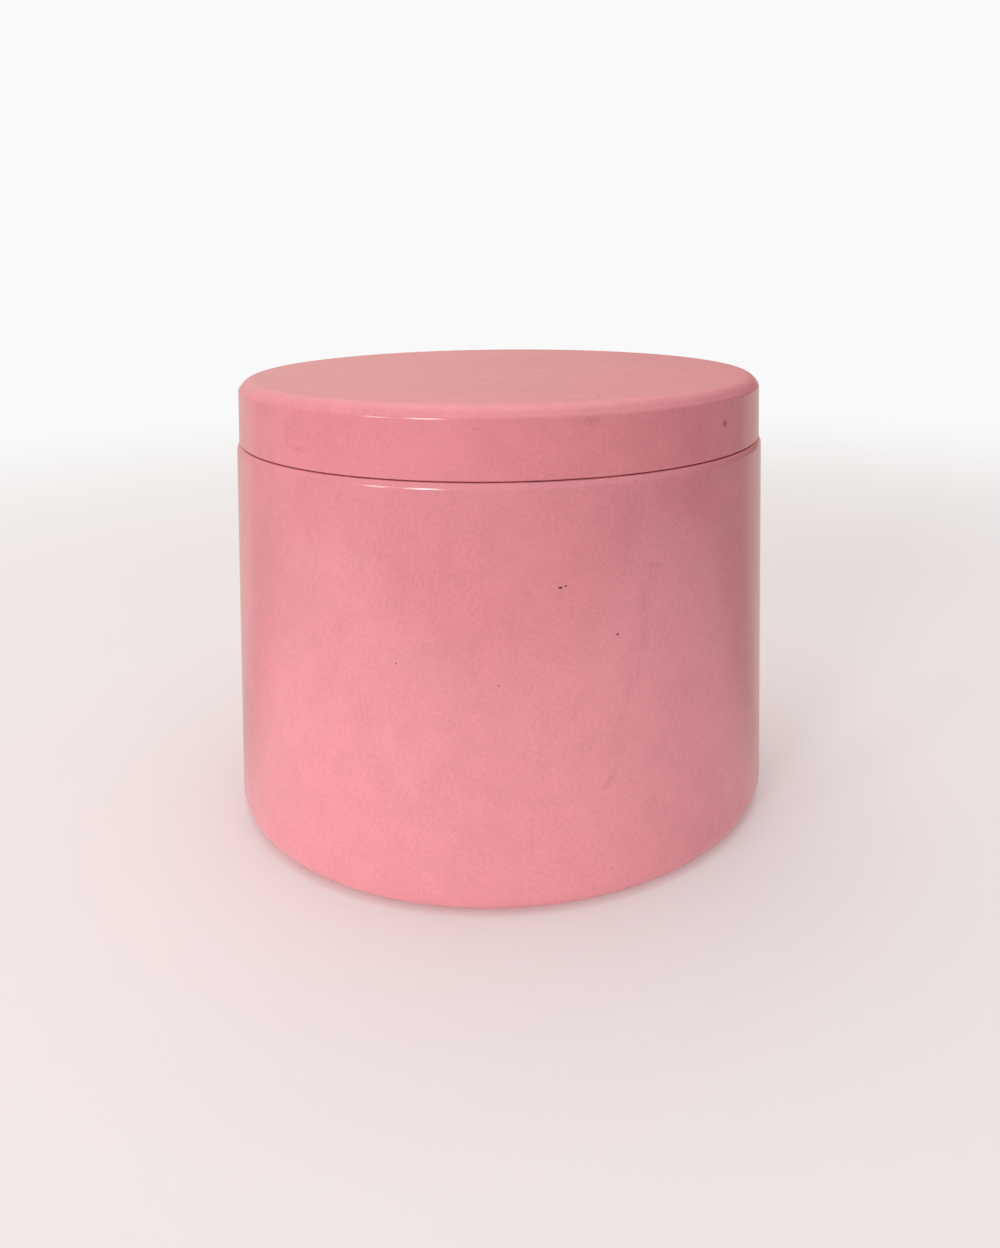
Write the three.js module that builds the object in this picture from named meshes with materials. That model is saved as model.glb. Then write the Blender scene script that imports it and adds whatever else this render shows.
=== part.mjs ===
// A seamless tin for making candles, in two pieces of pressed tinplate: a round body drawn in one
// piece, with a stepped-in neck, and a slip lid that goes over the neck and sits flush with the wall.
// Millimetres, +Z up. The origin is the centre of the base, in the plane that the tin stands on.
import * as THREE from "three";

const { degToRad } = THREE.MathUtils;

// Overall sizes of the closed tin.
const BODY_RADIUS = 39;
const OVERALL_HEIGHT = 61.5;
const SHEET = 0.28;

// A pressed bevel is a sloped band round a corner, with a rounded bend at either end. It would meet the
// face above it at `inset` from the side, and it faces `degrees` above the horizontal.

// The lid: its skirt is a little narrower than the body, its top corner is bevelled, and its lower
// edge is folded inwards.
const LID_RADIUS = 38.7;
const LID_HEIGHT = 9;
const LID_BEVEL = { inset: 1.1, degrees: 37, lowRadius: 0.6, highRadius: 2.2 };
const HEM_FOLD = 0.33;
const HEM_HEIGHT = 1.8;

// The body: a rounded foot, a steep bevel up to the ledge under the lid, and the neck with its
// curled-in rim.
const BASE_CORNER = 2.7;
const SHOULDER_BEVEL = { inset: 0.33, degrees: 25, lowRadius: 0.9, highRadius: 0.4 };
const NECK_RADIUS = 37.65;
const NECK_ROOT = 0.4;
const CURL_RADIUS = 0.6;

// The base: a flat ring to stand on, around a raised centre panel.
const RING_INNER_RADIUS = 34;
const PANEL_RISE = 1;
const PANEL_BEND = PANEL_RISE / 2;

// Clearances: the open seam between skirt and shoulder, and the rim under the lid's top.
const SEAM_GAP = 0.1;
const RIM_GAP = 0.3;

const SHOULDER_HEIGHT = OVERALL_HEIGHT - LID_HEIGHT - SEAM_GAP;
const RIM_HEIGHT = OVERALL_HEIGHT - SHEET - RIM_GAP;

// How finely the pieces are turned, and how many chords a bend of a given sweep takes.
const TURN_SEGMENTS = 64;
const DEGREES_PER_CHORD = 34;
const FINE_DEGREES_PER_CHORD = 18;

const PAINT = { color: 0xe2919b, roughness: 0.35, metalness: 0.1 };

// One bend of a sheet, in the half-plane of radius and height. Angles are in degrees, counted from
// outwards (0) towards up (90), and `radius` is that of the sheet's outside face.
function bend(centreRadius, centreHeight, radius, from, to, degreesPerChord = DEGREES_PER_CHORD) {
  return { centreRadius, centreHeight, radius, from, to, degreesPerChord };
}

// The two bends of a bevel between a side at `sideRadius` and a face at `topHeight`. The bevel is the
// straight that sheetFace leaves between them, and both bends are tangent to it.
function bevelBends(sideRadius, topHeight, { inset, degrees, lowRadius, highRadius }) {
  const cos = Math.cos(degToRad(degrees));
  const sin = Math.sin(degToRad(degrees));
  const reach = (sideRadius - inset) * cos + topHeight * sin;
  const lowCentreRadius = sideRadius - lowRadius;
  const lowCentreHeight = (reach - lowRadius - lowCentreRadius * cos) / sin;
  const highCentreHeight = topHeight - highRadius;
  const highCentreRadius = (reach - highRadius - highCentreHeight * sin) / cos;
  return [
    bend(lowCentreRadius, lowCentreHeight, lowRadius, 0, degrees),
    bend(highCentreRadius, highCentreHeight, highRadius, degrees, 90),
  ];
}

// The points of a bend on the face that lies `depth` behind the sheet's outside face. The sheet is on
// the left of the walk, so a bend to the left is tighter on the faces behind, and one to the right wider.
function bendPoints({ centreRadius, centreHeight, radius, from, to, degreesPerChord }, depth) {
  const turnsLeft = to > from;
  const faceRadius = turnsLeft ? radius - depth : radius + depth;
  const chords = Math.ceil(Math.abs(to - from) / degreesPerChord);
  const curve = new THREE.EllipseCurve(
    centreRadius,
    centreHeight,
    faceRadius,
    faceRadius,
    degToRad(from),
    degToRad(to),
    !turnsLeft,
  );
  return curve.getPoints(chords);
}

// One face of a sheet: its bends, joined by straight lines.
function sheetFace(bends, depth) {
  return bends.flatMap((one) => bendPoints(one, depth));
}

function at(radius, height) {
  return new THREE.Vector2(radius, height);
}

// A sheet-metal piece, turned from a section that starts and ends on the axis. LatheGeometry turns
// about its own Y, so the mesh is tipped to stand along +Z.
function turnedPiece(name, section) {
  const geometry = new THREE.LatheGeometry(section, TURN_SEGMENTS);
  const piece = new THREE.Mesh(geometry, new THREE.MeshStandardMaterial(PAINT));
  piece.name = name;
  piece.rotation.x = Math.PI / 2;
  return piece;
}

// The body's outside face runs from the middle of the base, out and up the wall, in over the
// shoulder, up the neck and round the curl of the rim, which ends just short of the neck's inside.
function tinBody() {
  const bends = [
    bend(RING_INNER_RADIUS - PANEL_RISE, PANEL_BEND, PANEL_BEND, 90, 0),
    bend(RING_INNER_RADIUS, PANEL_BEND, PANEL_BEND, 180, 270),
    bend(BODY_RADIUS - BASE_CORNER, BASE_CORNER, BASE_CORNER, 270, 360, FINE_DEGREES_PER_CHORD),
    ...bevelBends(BODY_RADIUS, SHOULDER_HEIGHT, SHOULDER_BEVEL),
    bend(NECK_RADIUS + NECK_ROOT, SHOULDER_HEIGHT + NECK_ROOT, NECK_ROOT, 270, 180),
    bend(NECK_RADIUS - CURL_RADIUS, RIM_HEIGHT - CURL_RADIUS, CURL_RADIUS, 0, 270),
  ];
  const outside = [at(0, PANEL_RISE), ...sheetFace(bends, 0)];
  const inside = [at(0, PANEL_RISE + SHEET), ...sheetFace(bends, SHEET)];
  return turnedPiece("tin_body", [...outside, ...inside.reverse()]);
}

// The lid's outside face runs from the end of the hem, down and round its fold, up the skirt and in
// to the middle of the top. Its height is counted from the lid's own lower edge.
function lid() {
  const hemEndRadius = LID_RADIUS - 2 * HEM_FOLD;
  const bends = [
    bend(LID_RADIUS - HEM_FOLD, HEM_FOLD, HEM_FOLD, 180, 360),
    ...bevelBends(LID_RADIUS, LID_HEIGHT, LID_BEVEL),
  ];
  const outside = [at(hemEndRadius, HEM_HEIGHT), ...sheetFace(bends, 0), at(0, LID_HEIGHT)];
  const inside = [
    at(hemEndRadius + SHEET, HEM_HEIGHT),
    ...sheetFace(bends, SHEET),
    at(0, LID_HEIGHT - SHEET),
  ];
  const piece = turnedPiece("lid", [...inside.reverse(), ...outside]);
  piece.position.z = SHOULDER_HEIGHT + SEAM_GAP;
  return piece;
}

const candleTin = new THREE.Group();
candleTin.add(tinBody(), lid());

export default candleTin;
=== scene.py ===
import math

import bmesh
import bpy
from mathutils import Matrix, Vector


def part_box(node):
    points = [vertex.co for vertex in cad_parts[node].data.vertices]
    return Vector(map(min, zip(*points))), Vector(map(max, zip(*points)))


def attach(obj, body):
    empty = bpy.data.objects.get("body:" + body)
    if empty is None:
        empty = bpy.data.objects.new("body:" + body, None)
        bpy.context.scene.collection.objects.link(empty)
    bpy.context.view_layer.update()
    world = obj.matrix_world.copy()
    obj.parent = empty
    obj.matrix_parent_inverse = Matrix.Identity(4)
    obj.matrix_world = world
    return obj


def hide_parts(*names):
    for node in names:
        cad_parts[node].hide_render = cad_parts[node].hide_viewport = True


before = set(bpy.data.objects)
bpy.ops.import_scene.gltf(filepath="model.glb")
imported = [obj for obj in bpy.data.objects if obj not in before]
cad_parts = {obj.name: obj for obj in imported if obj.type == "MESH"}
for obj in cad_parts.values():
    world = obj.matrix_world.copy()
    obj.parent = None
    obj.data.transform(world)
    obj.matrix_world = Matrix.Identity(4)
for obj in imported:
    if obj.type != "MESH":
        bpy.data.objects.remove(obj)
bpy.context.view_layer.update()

# The looks of a pink candle tin: two pieces of pressed tinplate, enamelled outside and bare inside.
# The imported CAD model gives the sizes; this script turns finer sheet metal over both of its pieces,
# gives them their materials, and sets a camera, soft lights and a pale floor around them.

MM = 0.001

# Sizes read from the frame.
BODY_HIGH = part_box("tin_body")[1]
LID_LOW, LID_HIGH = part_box("lid")
BODY_RADIUS = BODY_HIGH.x
LID_RADIUS = LID_HIGH.x
TIN_HEIGHT = LID_HIGH.z
LID_EDGE = LID_LOW.z

# Sizes of the sheet metal that the frame's box doesn't give.
SHEET = 0.28 * MM
SEAM_GAP = 0.1 * MM
RIM_GAP = 0.3 * MM
LID_BEVEL = {"inset": 1.1 * MM, "degrees": 37, "low_radius": 0.6 * MM, "high_radius": 2.2 * MM}
HEM_FOLD = 0.33 * MM
HEM_HEIGHT = 1.8 * MM
BASE_CORNER = 2.7 * MM
SHOULDER_BEVEL = {"inset": 0.33 * MM, "degrees": 25, "low_radius": 0.9 * MM, "high_radius": 0.4 * MM}
NECK_RADIUS = 37.65 * MM
NECK_ROOT = 0.4 * MM
CURL_RADIUS = 0.6 * MM
RING_INNER_RADIUS = 34 * MM
PANEL_RISE = 1 * MM

SHOULDER_HEIGHT = LID_EDGE - SEAM_GAP
RIM_HEIGHT = TIN_HEIGHT - SHEET - RIM_GAP

# How finely the sheets are turned.
TURN_STEPS = 288
DEGREES_PER_CHORD = 7.5
LONGEST_STRAIGHT = 4 * MM
SUPPORT_MARGIN = 0.08 * MM

PAINT_SLOT, TINPLATE_SLOT = 0, 1

# The camera: its distance and height are in body radii, and its turns are in degrees.
FOCAL_LENGTH = 30.5
FRAME_SHIFT = (-0.0417, -0.25)
CAMERA_DISTANCE, CAMERA_HEIGHT = 4.138, 2.022
CAMERA_YAW, CAMERA_PITCH, CAMERA_ROLL = 2.76, 3.0, -0.29

# Colours of the pieces.
BODY_PINK = (0.84, 0.298, 0.340)
LID_PINK = (0.865, 0.292, 0.334)
SPECK_RED = (0.07, 0.002, 0.008, 1)

# The table top, and the backdrop that it fades into between two distances from the tin.
BACKDROP = (0.95, 0.95, 0.95, 1)
FADE_NEAR, FADE_FAR = 0.12, 0.40
TABLE_GLOW = 0.12
FLOOR_REACH = 6.0

# The room that the tin reflects: a table with soft edges, and what is dim around it.
TABLE_SIDES = (-0.20, 0.20)
TABLE_FRONT_BACK = (-0.118, 0.0)
SOFT_EDGE = 0.02
SIDE_SLOPE = 0.72
FRONT_DIM = (0.09, 0.085, 0.08, 1)
SIDE_DIM = (0.38, 0.36, 0.33, 1)
BACK_DIM = (0.62, 0.56, 0.49, 1)
REFLECTED_FLOOR_DROP = 0.2 * MM

# The room's own light: where each part of it is brightest, and how bright.
CEILING = (0, 0.1, 1), (1.08, 1.08, 1.08)
BACK_WALL = (0, 1, 0.1), (0.46, 0.21, 0.19)
LEFT_WALL = (-1, 1, 0.1), (0.36, 0.33, 0.30)
FRONT_WALL = (0.6, -1, 0.1), (0.46, 0.44, 0.43)


# ---------------------------------------------------------------- camera


def make_camera():
    """A phone held almost level, a little higher than the tin and two tin widths from its axis."""
    data = bpy.data.cameras.new("camera")
    data.sensor_width = 36
    data.lens = FOCAL_LENGTH
    data.shift_x, data.shift_y = FRAME_SHIFT
    data.clip_start = 0.01
    camera = bpy.data.objects.new("camera", data)
    yaw, pitch, roll = (math.radians(a) for a in (CAMERA_YAW, CAMERA_PITCH, CAMERA_ROLL))
    turn = (
        Matrix.Rotation(-yaw, 4, "Z")
        @ Matrix.Rotation(math.pi / 2 - pitch, 4, "X")
        @ Matrix.Rotation(roll, 4, "Z")
    )
    place = Vector((0, -CAMERA_DISTANCE * BODY_RADIUS, CAMERA_HEIGHT * BODY_RADIUS))
    camera.matrix_world = Matrix.Translation(place) @ turn
    bpy.context.scene.collection.objects.link(camera)
    bpy.context.scene.camera = camera


# ---------------------------------------------------------------- sheet metal


def bend(centre_radius, centre_height, radius, start, end):
    """One bend of a sheet, in the half-plane of radius and height. Degrees count from outwards to up."""
    return centre_radius, centre_height, radius, start, end


def bend_points(one, depth):
    """A bend's points on the face that lies `depth` to the left of the outside face."""
    centre_radius, centre_height, radius, start, end = one
    face_radius = radius - depth if end > start else radius + depth
    chords = math.ceil(abs(end - start) / DEGREES_PER_CHORD)
    angles = [math.radians(start + (end - start) * i / chords) for i in range(chords + 1)]
    return [
        (centre_radius + face_radius * math.cos(a), centre_height + face_radius * math.sin(a))
        for a in angles
    ]


def straight_points(start, end):
    """Points along a straight: evenly spaced ones, and one close to each end so that its shading is flat."""
    length = math.dist(start, end)
    if length < 3 * SUPPORT_MARGIN:
        return []
    steps = math.ceil(length / LONGEST_STRAIGHT)
    along = [SUPPORT_MARGIN / length]
    along += [i / steps for i in range(1, steps)]
    along += [1 - SUPPORT_MARGIN / length]
    return [
        (start[0] + (end[0] - start[0]) * t, start[1] + (end[1] - start[1]) * t) for t in along
    ]


def sheet_face(stretches):
    """One face of a sheet: stretches of points, joined by straights."""
    points = list(stretches[0])
    for stretch in stretches[1:]:
        points += straight_points(points[-1], stretch[0])
        points += stretch
    return points


def turned_sheet(name, outside, inside, materials):
    """A sheet-metal piece: painted outside face, cut edge and bare inside face, turned about the axis.

    Both faces are lists of (radius, height) and are walked with the sheet on the left."""
    section = outside + inside[::-1]
    painted_strips = len(outside) - 1
    mesh = bmesh.new()
    rings = [ring_of(mesh, radius, height) for radius, height in section]
    strips = list(zip(rings, rings[1:]))
    if len(rings[0]) > 1:
        strips.append((rings[-1], rings[0]))
    for index, (lower, upper) in enumerate(strips):
        slot = PAINT_SLOT if index < painted_strips else TINPLATE_SLOT
        for face in strip_faces(mesh, lower, upper):
            face.material_index = slot
            face.smooth = True
    for ring in (rings[len(outside) - 1], rings[len(outside)], rings[0], rings[-1]):
        sharpen(ring)
    return finished_object(name, mesh, materials)


def ring_of(mesh, radius, height):
    """The vertices of one ring, or the single one where the section meets the axis."""
    if radius < 1e-9:
        return [mesh.verts.new((0, 0, height))]
    angles = [math.tau * i / TURN_STEPS for i in range(TURN_STEPS)]
    return [mesh.verts.new((radius * math.sin(a), -radius * math.cos(a), height)) for a in angles]


def strip_faces(mesh, lower, upper):
    """The faces between two rings, facing right of the way the section is walked."""
    faces = []
    for i in range(TURN_STEPS):
        j = (i + 1) % TURN_STEPS
        low_corners = [lower[i % len(lower)], lower[j % len(lower)]]
        high_corners = [upper[j % len(upper)], upper[i % len(upper)]]
        corners = list(dict.fromkeys(low_corners + high_corners))
        if len(corners) > 2:
            faces.append(mesh.faces.new(corners))
    return faces


def sharpen(ring):
    """Marks a ring's own edges as sharp, as at the cut edge of the sheet."""
    members = set(ring)
    for vert in ring:
        for edge in vert.link_edges:
            if edge.other_vert(vert) in members:
                edge.smooth = False


def finished_object(name, mesh, materials):
    data = bpy.data.meshes.new(name)
    mesh.normal_update()
    mesh.to_mesh(data)
    mesh.free()
    for material in materials:
        data.materials.append(material)
    piece = bpy.data.objects.new(name, data)
    bpy.context.scene.collection.objects.link(piece)
    return piece


def bevel_bends(side_radius, top_height, inset, degrees, low_radius, high_radius):
    """The two bends of a bevel, which is the straight that sheet_face leaves between them.

    The bevel would meet the face above it at `inset` from the side, and faces `degrees` above level."""
    cos, sin = math.cos(math.radians(degrees)), math.sin(math.radians(degrees))
    reach = (side_radius - inset) * cos + top_height * sin
    low_centre_radius = side_radius - low_radius
    low_centre_height = (reach - low_radius - low_centre_radius * cos) / sin
    high_centre_height = top_height - high_radius
    high_centre_radius = (reach - high_radius - high_centre_height * sin) / cos
    return [
        bend(low_centre_radius, low_centre_height, low_radius, 0, degrees),
        bend(high_centre_radius, high_centre_height, high_radius, degrees, 90),
    ]


def tin_body_faces():
    """The body's sheet, from the middle of the base out, up the wall and neck, and round the rim's curl."""
    step = PANEL_RISE / 2
    bends = [
        bend(RING_INNER_RADIUS - PANEL_RISE, step, step, 90, 0),
        bend(RING_INNER_RADIUS, step, step, 180, 270),
        bend(BODY_RADIUS - BASE_CORNER, BASE_CORNER, BASE_CORNER, 270, 360),
        *bevel_bends(BODY_RADIUS, SHOULDER_HEIGHT, **SHOULDER_BEVEL),
        bend(NECK_RADIUS + NECK_ROOT, SHOULDER_HEIGHT + NECK_ROOT, NECK_ROOT, 270, 180),
        bend(NECK_RADIUS - CURL_RADIUS, RIM_HEIGHT - CURL_RADIUS, CURL_RADIUS, 0, 270),
    ]
    return [
        sheet_face([[(0, PANEL_RISE + depth)]] + [bend_points(one, depth) for one in bends])
        for depth in (0, SHEET)
    ]


def lid_faces():
    """The lid's sheet, from the end of the folded-in hem, down, up the skirt and in to the middle."""
    hem_end = LID_RADIUS - 2 * HEM_FOLD
    bends = [
        bend(LID_RADIUS - HEM_FOLD, LID_EDGE + HEM_FOLD, HEM_FOLD, 180, 360),
        *bevel_bends(LID_RADIUS, TIN_HEIGHT, **LID_BEVEL),
    ]
    return [
        sheet_face(
            [[(hem_end + depth, LID_EDGE + HEM_HEIGHT)]]
            + [bend_points(one, depth) for one in bends]
            + [[(0, TIN_HEIGHT - depth)]]
        )
        for depth in (0, SHEET)
    ]


# ---------------------------------------------------------------- node trees


class Graph:
    """A material's or the world's node tree, built by calls that return output sockets."""

    def __init__(self, owner):
        owner.use_nodes = True
        self.tree = owner.node_tree
        self.tree.nodes.clear()

    def node(self, kind, inputs, **settings):
        """A new node. `inputs` maps a socket's name or number to a value or to the output that feeds it."""
        made = self.tree.nodes.new(kind)
        for name, value in settings.items():
            setattr(made, name, value)
        for key, value in inputs.items():
            if isinstance(value, bpy.types.NodeSocket):
                self.tree.links.new(value, made.inputs[key])
            else:
                made.inputs[key].default_value = value
        return made

    def math(self, operation, *values):
        return self.node("ShaderNodeMath", dict(enumerate(values)), operation=operation).outputs[0]

    def vector(self, operation, *values, output="Vector"):
        made = self.node("ShaderNodeVectorMath", dict(enumerate(values)), operation=operation)
        return made.outputs[output]

    def scaled(self, vector, factor):
        return self.node("ShaderNodeVectorMath", {0: vector, "Scale": factor}, operation="SCALE").outputs[0]

    def noise(self, position, scale, detail=2.0, roughness=0.5):
        inputs = {"Vector": position, "Scale": scale, "Detail": detail, "Roughness": roughness}
        return self.node("ShaderNodeTexNoise", inputs).outputs["Fac"]

    def fade(self, value, low, high, at_low=0.0, at_high=1.0):
        """`value` smoothly mapped from low..high to at_low..at_high, and held past both ends."""
        inputs = {0: value, 1: low, 2: high, 3: at_low, 4: at_high}
        return self.node("ShaderNodeMapRange", inputs, interpolation_type="SMOOTHSTEP").outputs[0]

    def fade_straight(self, value, high):
        """`value` mapped in proportion from 0..high to 0..1, and held past both ends."""
        return self.node("ShaderNodeMapRange", {0: value, 1: 0.0, 2: high}).outputs[0]

    def mix(self, share, first, second):
        inputs = {0: share, 6: first, 7: second}
        return self.node("ShaderNodeMix", inputs, data_type="RGBA").outputs[2]

    def bump(self, height, distance, normal=None):
        inputs = {"Height": height, "Distance": distance}
        if normal is not None:
            inputs["Normal"] = normal
        return self.node("ShaderNodeBump", inputs).outputs[0]

    def surface(self, shader):
        self.node("ShaderNodeOutputMaterial", {"Surface": shader})


# ---------------------------------------------------------------- materials


def on_side(azimuth, height, radius):
    """A point on an upright round surface. Azimuth is in degrees, from 0 in front, and grows to the right."""
    turn = math.radians(azimuth)
    return radius * math.sin(turn), -radius * math.cos(turn), height


def spot(graph, position, place, width, height, softness=0.5):
    """1 within an uneven oval around `place` and 0 outside it; `softness` is the share that fades."""
    shift = graph.vector("SUBTRACT", position, place)
    scaled = graph.vector("MULTIPLY", shift, (2 / width, 2 / width, 2 / height))
    ragged = graph.math("ADD", graph.noise(position, 3000.0), -0.5)
    away = graph.math("ADD", graph.vector("LENGTH", scaled, output="Value"), ragged)
    return graph.fade(away, 1.0 + softness, 1.0 - softness)


def most(graph, masks):
    """The highest of several masks."""
    highest = masks[0]
    for mask in masks[1:]:
        highest = graph.math("MAXIMUM", highest, mask)
    return highest


def pinholes(graph, position):
    """Tiny dots, some millimetres apart, where the enamel didn't close."""
    cells = graph.node("ShaderNodeTexVoronoi", {"Vector": position, "Scale": 160.0})
    chosen = graph.node("ShaderNodeSeparateColor", {0: cells.outputs["Color"]}).outputs["Red"]
    dot = graph.fade(cells.outputs["Distance"], 0.020, 0.008)
    return graph.math("MULTIPLY", dot, graph.fade(chosen, 0.84, 0.90, 0.0, 0.5))


def stroke(graph, position, start, end, width, softness=0.6):
    """1 along an uneven line between two places and 0 away from it."""
    along = Vector(end) - Vector(start)
    from_start = graph.vector("SUBTRACT", position, start)
    covered = graph.vector("DOT_PRODUCT", from_start, tuple(along), output="Value")
    share = graph.fade_straight(covered, along.length_squared)
    to_nearest = graph.scaled(tuple(along), share)
    aside = graph.vector("LENGTH", graph.vector("SUBTRACT", from_start, to_nearest), output="Value")
    ragged = graph.math("ADD", graph.noise(position, 1500.0, 3.0), -0.5)
    away = graph.math("ADD", graph.math("MULTIPLY", aside, 2 / width), ragged)
    return graph.fade(away, 1.0 + softness, 1.0 - softness)


def faint(graph, mask, share):
    return graph.math("MULTIPLY", mask, share)


def rubbed_streak(graph, position):
    """A faint streak down the body, to the right of its front, with a smear on top and a hook at its foot."""
    turns = [(27.4, 40.5), (26.2, 34.0), (24.6, 28.5), (21.6, 22.0), (19.7, 16.5)]
    places = [on_side(azimuth, height * MM, BODY_RADIUS) for azimuth, height in turns]
    strokes = [
        stroke(graph, position, upper, lower, 1.6 * MM, 0.9) for upper, lower in zip(places, places[1:])
    ]
    fibres = graph.noise(graph.vector("MULTIPLY", position, (1, 1, 0.2)), 1600.0, 3.0, 0.6)
    streak = graph.math("MULTIPLY", most(graph, strokes), graph.fade(fibres, 0.38, 0.66))
    hook_start = on_side(18.0, 14.7 * MM, BODY_RADIUS)
    hook_end = on_side(19.6, 15.8 * MM, BODY_RADIUS)
    hook = stroke(graph, position, hook_start, hook_end, 0.6 * MM)
    head_start = on_side(26.5, 41.2 * MM, BODY_RADIUS)
    head_end = on_side(29.9, 40.9 * MM, BODY_RADIUS)
    head = stroke(graph, position, head_start, head_end, 0.5 * MM)
    return most(graph, [faint(graph, streak, 0.55), hook, faint(graph, head, 0.8)])


def body_marks(graph, position):
    """Specks in the body's enamel, and its soft dull marks."""

    def speck(azimuth, height, width, tall):
        return spot(graph, position, on_side(azimuth, height * MM, BODY_RADIUS), width * MM, tall * MM)

    specks = [
        speck(10.0, 39.75, 0.50, 0.24),
        speck(10.95, 39.9, 0.28, 0.14),
        speck(20.7, 33.3, 0.26, 0.22),
        faint(graph, speck(-19.2, 30.5, 0.2, 0.2), 0.5),
        faint(graph, speck(-0.9, 28.3, 0.2, 0.2), 0.5),
    ]
    smudges = [
        rubbed_streak(graph, position),
        neck_rub(graph, position),
        faint(graph, speck(-32.8, 51.5, 1.3, 0.3), 0.8),
        faint(graph, speck(19.4, 4.4, 0.6, 0.4), 0.5),
        faint(graph, speck(18.8, 1.7, 0.5, 0.3), 0.5),
    ]
    return most(graph, specks), most(graph, smudges)


def lid_marks(graph, position):
    """Specks in the lid's enamel with the one pit in its skirt, and its soft dull marks."""
    top_speck_radius = 32.4 * MM
    pit_place = on_side(48.7, 57.0 * MM, LID_RADIUS)
    pit = spot(graph, position, pit_place, 0.9 * MM, 0.8 * MM, 0.8)
    specks = [
        faint(graph, pit, 0.6),
        spot(graph, position, on_side(21.8, TIN_HEIGHT, top_speck_radius), 0.34 * MM, 0.5 * MM),
    ]
    smudges = [
        spot(graph, position, on_side(16.0, 59.3 * MM, LID_RADIUS), 1.7 * MM, 0.9 * MM, 0.9),
        spot(graph, position, on_side(-41.4, 55.1 * MM, LID_RADIUS), 2.6 * MM, 0.45 * MM, 0.9),
        spot(graph, position, on_side(-44.5, 56.6 * MM, LID_RADIUS), 0.5 * MM, 2.4 * MM, 0.9),
    ]
    return most(graph, specks), most(graph, smudges)


def neck_rub(graph, position):
    """Fine upright rub marks on the neck, where the lid slides on and off."""
    height = graph.node("ShaderNodeSeparateXYZ", {0: position}).outputs["Z"]
    on_neck = graph.fade(height, SHOULDER_HEIGHT + 0.8 * MM, SHOULDER_HEIGHT + 2.5 * MM)
    streaks = graph.noise(graph.vector("MULTIPLY", position, (1, 1, 0.08)), 1400.0, 3.0, 0.6)
    return graph.math("MULTIPLY", on_neck, graph.fade(streaks, 0.50, 0.66))


def worn_edge(graph, position, edge_height, reach):
    """Patches along the edge at `edge_height` where the enamel is rubbed through to the metal."""
    height = graph.node("ShaderNodeSeparateXYZ", {0: position}).outputs["Z"]
    away = graph.math("ABSOLUTE", graph.math("SUBTRACT", height, edge_height))
    near = graph.fade(away, reach, 0.1 * reach)
    broken = graph.fade(graph.noise(position, 420.0, 5.0, 0.7), 0.50, 0.58)
    return graph.math("MULTIPLY", near, broken)


def body_wear(graph, position):
    """The body's enamel is worn under its foot and on the rim's curl."""
    foot = worn_edge(graph, position, 0.0, 0.25 * MM)
    rim = worn_edge(graph, position, RIM_HEIGHT, 0.22 * MM)
    return most(graph, [foot, rim])


def lid_wear(graph, position):
    """The lid's enamel is worn along the lowest line of its hem."""
    return worn_edge(graph, position, LID_EDGE, 0.12 * MM)


def enamel(name, colour, find_marks, find_wear):
    """Glossy pink enamel on pressed tinplate: clouded, finely mottled, and marked by use."""
    material = bpy.data.materials.new(name)
    graph = Graph(material)
    position = graph.node("ShaderNodeTexCoord", {}).outputs["Object"]
    cloud = graph.noise(position, 35.0, 3.0)
    blotch = graph.noise(position, 260.0, 2.0)
    grain = graph.noise(position, 3000.0, 2.0, 0.6)
    deep = tuple(c * 0.93 for c in colour) + (1,)
    light = tuple(min(1, c * 1.07) for c in colour) + (1,)
    shade = graph.math("ADD", graph.math("MULTIPLY", cloud, 0.33), graph.math("MULTIPLY", blotch, 0.22))
    shade = graph.math("ADD", shade, graph.math("MULTIPLY", grain, 0.45))
    tint = graph.mix(graph.fade(shade, 0.36, 0.64), deep, light)
    specks, smudges = find_marks(graph, position)
    specks = graph.math("MAXIMUM", specks, pinholes(graph, position))
    tint = graph.mix(graph.math("MULTIPLY", smudges, 0.5), tint, tuple(c * 0.72 for c in colour) + (1,))
    tint = graph.mix(specks, tint, SPECK_RED)
    peel = graph.bump(graph.noise(position, 700.0, 1.0), 0.008 * MM)
    pitted = graph.bump(graph.math("SUBTRACT", 1.0, specks), 0.12 * MM, normal=peel)
    rough = graph.math("ADD", graph.fade(cloud, 0.2, 0.8, 0.12, 0.17), graph.math("MULTIPLY", smudges, 0.2))
    paint = graph.node(
        "ShaderNodeBsdfPrincipled",
        {"Base Color": tint, "Roughness": rough, "Normal": pitted, "IOR": 1.5},
    )
    worn = find_wear(graph, position)
    metal = graph.node(
        "ShaderNodeBsdfPrincipled",
        {
            "Base Color": graph.mix(grain, (0.42, 0.39, 0.36, 1), (0.66, 0.63, 0.60, 1)),
            "Metallic": 1.0,
            "Roughness": graph.fade(grain, 0.3, 0.7, 0.30, 0.45),
        },
    )
    shader = graph.node("ShaderNodeMixShader", {0: worn, 1: paint.outputs[0], 2: metal.outputs[0]})
    graph.surface(shader.outputs[0])
    return material


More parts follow.
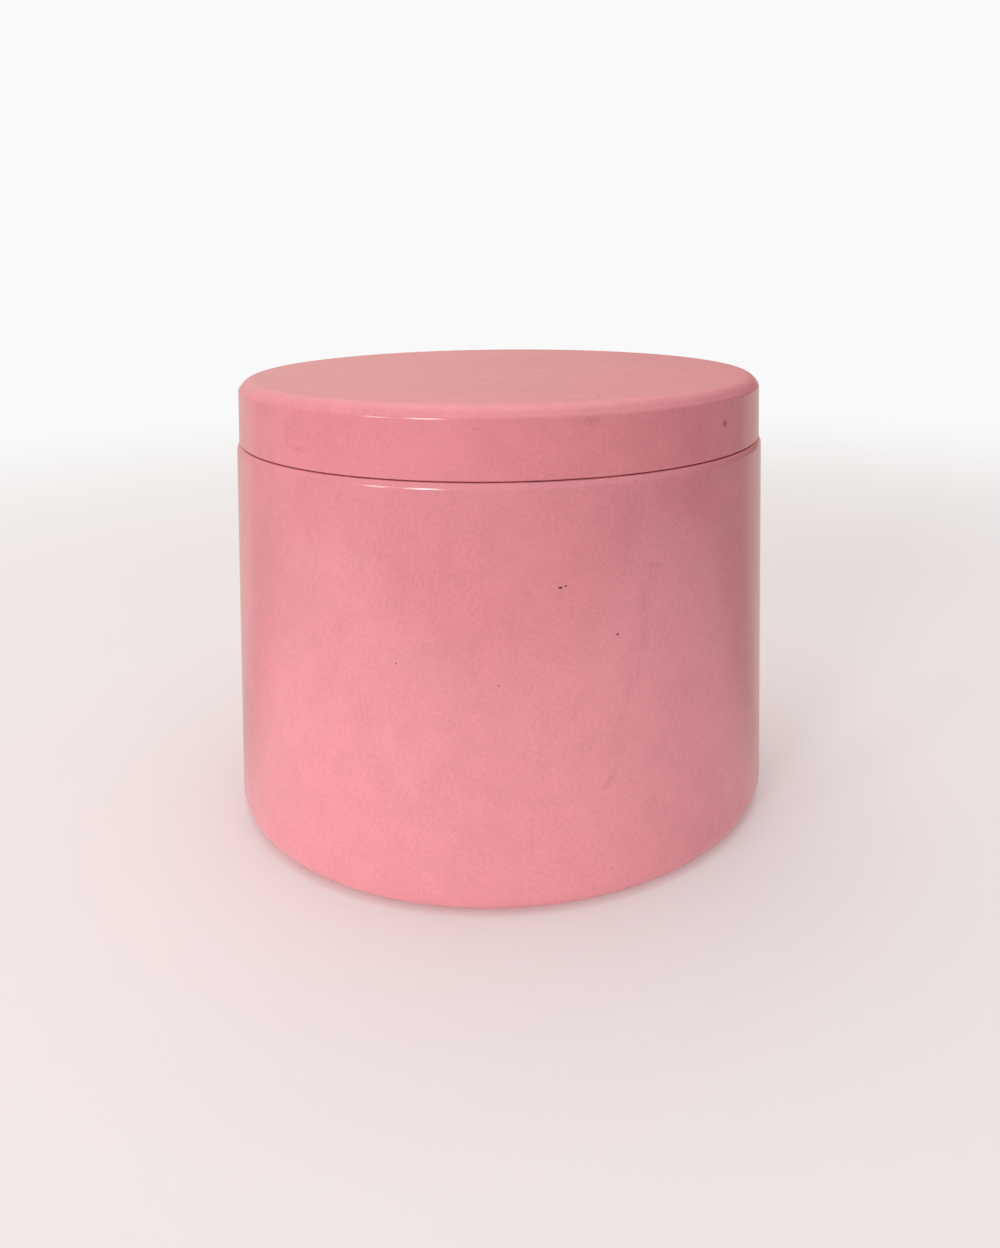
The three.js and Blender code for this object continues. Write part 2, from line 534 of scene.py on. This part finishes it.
def tinplate(name):
    """Bare drawn tinplate: fine lines up the wall and along the flat, under a dull sheen."""
    material = bpy.data.materials.new(name)
    graph = Graph(material)
    coordinates = graph.node("ShaderNodeTexCoord", {})
    position = coordinates.outputs["Object"]
    upright = graph.vector("MULTIPLY", position, (1, 1, 0.02))
    level = graph.vector("MULTIPLY", position, (0.02, 1, 1))
    up = graph.node("ShaderNodeSeparateXYZ", {0: coordinates.outputs["Normal"]}).outputs["Z"]
    flat = graph.fade(graph.math("ABSOLUTE", up), 0.4, 0.8)
    wall_lines = graph.noise(upright, 2500.0, 3.0, 0.6)
    flat_lines = graph.noise(level, 2500.0, 3.0, 0.6)
    lines = graph.node("ShaderNodeMix", {0: flat, 2: wall_lines, 3: flat_lines}).outputs[0]
    cloud = graph.noise(position, 60.0, 3.0)
    stain = graph.fade(graph.noise(position, 140.0, 4.0, 0.6), 0.55, 0.75)
    tint = graph.mix(graph.fade(lines, 0.3, 0.7), (0.58, 0.56, 0.53, 1), (0.76, 0.74, 0.70, 1))
    tint = graph.mix(graph.math("MULTIPLY", stain, 0.35), tint, (0.46, 0.42, 0.36, 1))
    rough = graph.math("ADD", graph.fade(cloud, 0.2, 0.8, 0.22, 0.34), graph.math("MULTIPLY", stain, 0.1))
    shader = graph.node(
        "ShaderNodeBsdfPrincipled",
        {
            "Base Color": tint,
            "Metallic": 1.0,
            "Roughness": rough,
            "Normal": graph.bump(lines, 0.002 * MM),
        },
    )
    graph.surface(shader.outputs[0])
    return material


def table_top(graph, position):
    """A white table top, lit a little from below as for product pictures."""
    tint = graph.mix(graph.noise(position, 6.0, 3.0), (0.80, 0.79, 0.78, 1), (0.84, 0.83, 0.82, 1))
    shader = graph.node(
        "ShaderNodeBsdfPrincipled",
        {
            "Base Color": tint,
            "Roughness": 0.6,
            "Emission Color": (1, 0.99, 0.98, 1),
            "Emission Strength": TABLE_GLOW,
        },
    )
    return shader.outputs[0]


def pale_floor():
    """The table top, fading into the backdrop's white with distance."""
    material = bpy.data.materials.new("pale_floor")
    graph = Graph(material)
    position = graph.node("ShaderNodeTexCoord", {}).outputs["Object"]
    away = graph.vector("LENGTH", position, output="Value")
    far = graph.fade(away, FADE_NEAR, FADE_FAR)
    backdrop = graph.node("ShaderNodeEmission", {"Color": BACKDROP, "Strength": 1.0}).outputs[0]
    near = table_top(graph, position)
    graph.surface(graph.node("ShaderNodeMixShader", {0: far, 1: near, 2: backdrop}).outputs[0])
    return material


def dim_surroundings():
    """The table top, and past its edges a dim room: dark in front and beside it, warmer behind."""
    material = bpy.data.materials.new("dim_surroundings")
    graph = Graph(material)
    position = graph.node("ShaderNodeTexCoord", {}).outputs["Object"]
    parts = graph.node("ShaderNodeSeparateXYZ", {0: position}).outputs
    on_table = 1.0
    for axis, (low, high) in (("X", TABLE_SIDES), ("Y", TABLE_FRONT_BACK)):
        past_low = graph.fade(parts[axis], low - SOFT_EDGE, low + SOFT_EDGE)
        before_high = graph.fade(parts[axis], high + SOFT_EDGE, high - SOFT_EDGE)
        on_table = graph.math("MULTIPLY", on_table, graph.math("MULTIPLY", past_low, before_high))
    beside = graph.math("SUBTRACT", graph.math("ABSOLUTE", parts["X"]), BODY_RADIUS)
    past_line = graph.math("SUBTRACT", parts["Y"], graph.math("MULTIPLY", beside, SIDE_SLOPE))
    behind = graph.fade(past_line, -SOFT_EDGE, SOFT_EDGE)
    table_back = TABLE_FRONT_BACK[1]
    past_back = graph.fade(parts["Y"], table_back - SOFT_EDGE, table_back + SOFT_EDGE)
    tint = graph.mix(past_back, FRONT_DIM, SIDE_DIM)
    room = graph.node("ShaderNodeEmission", {"Color": graph.mix(behind, tint, BACK_DIM)}).outputs[0]
    table = table_top(graph, position)
    graph.surface(graph.node("ShaderNodeMixShader", {0: on_table, 1: room, 2: table}).outputs[0])
    return material


# ---------------------------------------------------------------- stage and light


def level_sheet(name, height, material):
    corners = [(-1, -1), (1, -1), (1, 1), (-1, 1)]
    mesh = bmesh.new()
    mesh.faces.new([mesh.verts.new((FLOOR_REACH * x, FLOOR_REACH * y, height)) for x, y in corners])
    sheet = finished_object(name, mesh, [material])
    sheet.visible_shadow = False
    return sheet


def make_floor():
    """An endless pale floor that only the camera sees, and a dimmer one for reflections and bounced light."""
    floor = level_sheet("floor", 0, pale_floor())
    floor.visible_diffuse = False
    floor.visible_glossy = False
    reflected = level_sheet("reflected_floor", -REFLECTED_FLOOR_DROP, dim_surroundings())
    reflected.visible_camera = False


def soft_box(name, azimuth, elevation, distance, width, height, radiance):
    """A soft box that faces the middle of the tin. Azimuth is 0 in front, and grows to the right."""
    data = bpy.data.lights.new(name, "AREA")
    data.shape = "RECTANGLE"
    data.size = width
    data.size_y = height
    data.energy = radiance * math.pi * width * height
    light = bpy.data.objects.new(name, data)
    turn, rise = math.radians(azimuth), math.radians(elevation)
    middle = Vector((0, 0, TIN_HEIGHT / 2))
    away = Vector((math.sin(turn) * math.cos(rise), -math.cos(turn) * math.cos(rise), math.sin(rise)))
    light.location = middle + away * distance
    light.rotation_euler = away.to_track_quat("Z", "Y").to_euler()
    light.visible_camera = False
    bpy.context.scene.collection.objects.link(light)


def make_lights():
    """Two window panes on the left in front of the tin, and a dim panel above it."""
    soft_box("pane_left", azimuth=-51, elevation=10, distance=1.0, width=0.15, height=0.26, radiance=13)
    soft_box("pane_right", azimuth=-31, elevation=10, distance=1.0, width=0.19, height=0.26, radiance=23)
    soft_box("overhead", azimuth=180, elevation=82, distance=1.2, width=1.0, height=1.0, radiance=0.4)


def room_glow(graph, axis, radiance):
    """The part of the room's light that is brightest towards `axis` and gone at right angles to it."""
    direction = graph.node("ShaderNodeTexCoord", {}).outputs["Generated"]
    towards = tuple(Vector(axis).normalized())
    facing = graph.math("MAXIMUM", graph.vector("DOT_PRODUCT", direction, towards, output="Value"), 0.0)
    lobe = graph.math("MULTIPLY", facing, facing)
    return graph.scaled(radiance, lobe)


def make_world():
    """A room that lights the tin, and the plain backdrop that the camera sees instead of it."""
    world = bpy.data.worlds.new("studio")
    bpy.context.scene.world = world
    graph = Graph(world)
    light = room_glow(graph, *CEILING)
    for part in (BACK_WALL, LEFT_WALL, FRONT_WALL):
        light = graph.vector("ADD", light, room_glow(graph, *part))
    room = graph.node("ShaderNodeBackground", {"Color": light})
    seen = graph.node("ShaderNodeBackground", {"Color": BACKDROP})
    to_camera = graph.node("ShaderNodeLightPath", {}).outputs["Is Camera Ray"]
    shader = graph.node("ShaderNodeMixShader", {0: to_camera, 1: room.outputs[0], 2: seen.outputs[0]})
    graph.node("ShaderNodeOutputWorld", {"Surface": shader.outputs[0]})


# ---------------------------------------------------------------- the tin


def dress(piece, body, node):
    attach(piece, body)
    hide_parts(node)


def make_tin():
    bare = tinplate("bare_tinplate")
    outside, inside = tin_body_faces()
    body_enamel = enamel("body_enamel", BODY_PINK, body_marks, body_wear)
    body = turned_sheet("body_shell", outside, inside, [body_enamel, bare])
    dress(body, "tin", "tin_body")
    outside, inside = lid_faces()
    lid_enamel = enamel("lid_enamel", LID_PINK, lid_marks, lid_wear)
    lid = turned_sheet("lid_shell", outside, inside, [lid_enamel, bare])
    dress(lid, "lid", "lid")


def set_picture():
    view = bpy.context.scene.view_settings
    view.view_transform = "Standard"
    view.look = "None"


make_camera()
make_tin()
make_floor()
make_lights()
make_world()
set_picture()
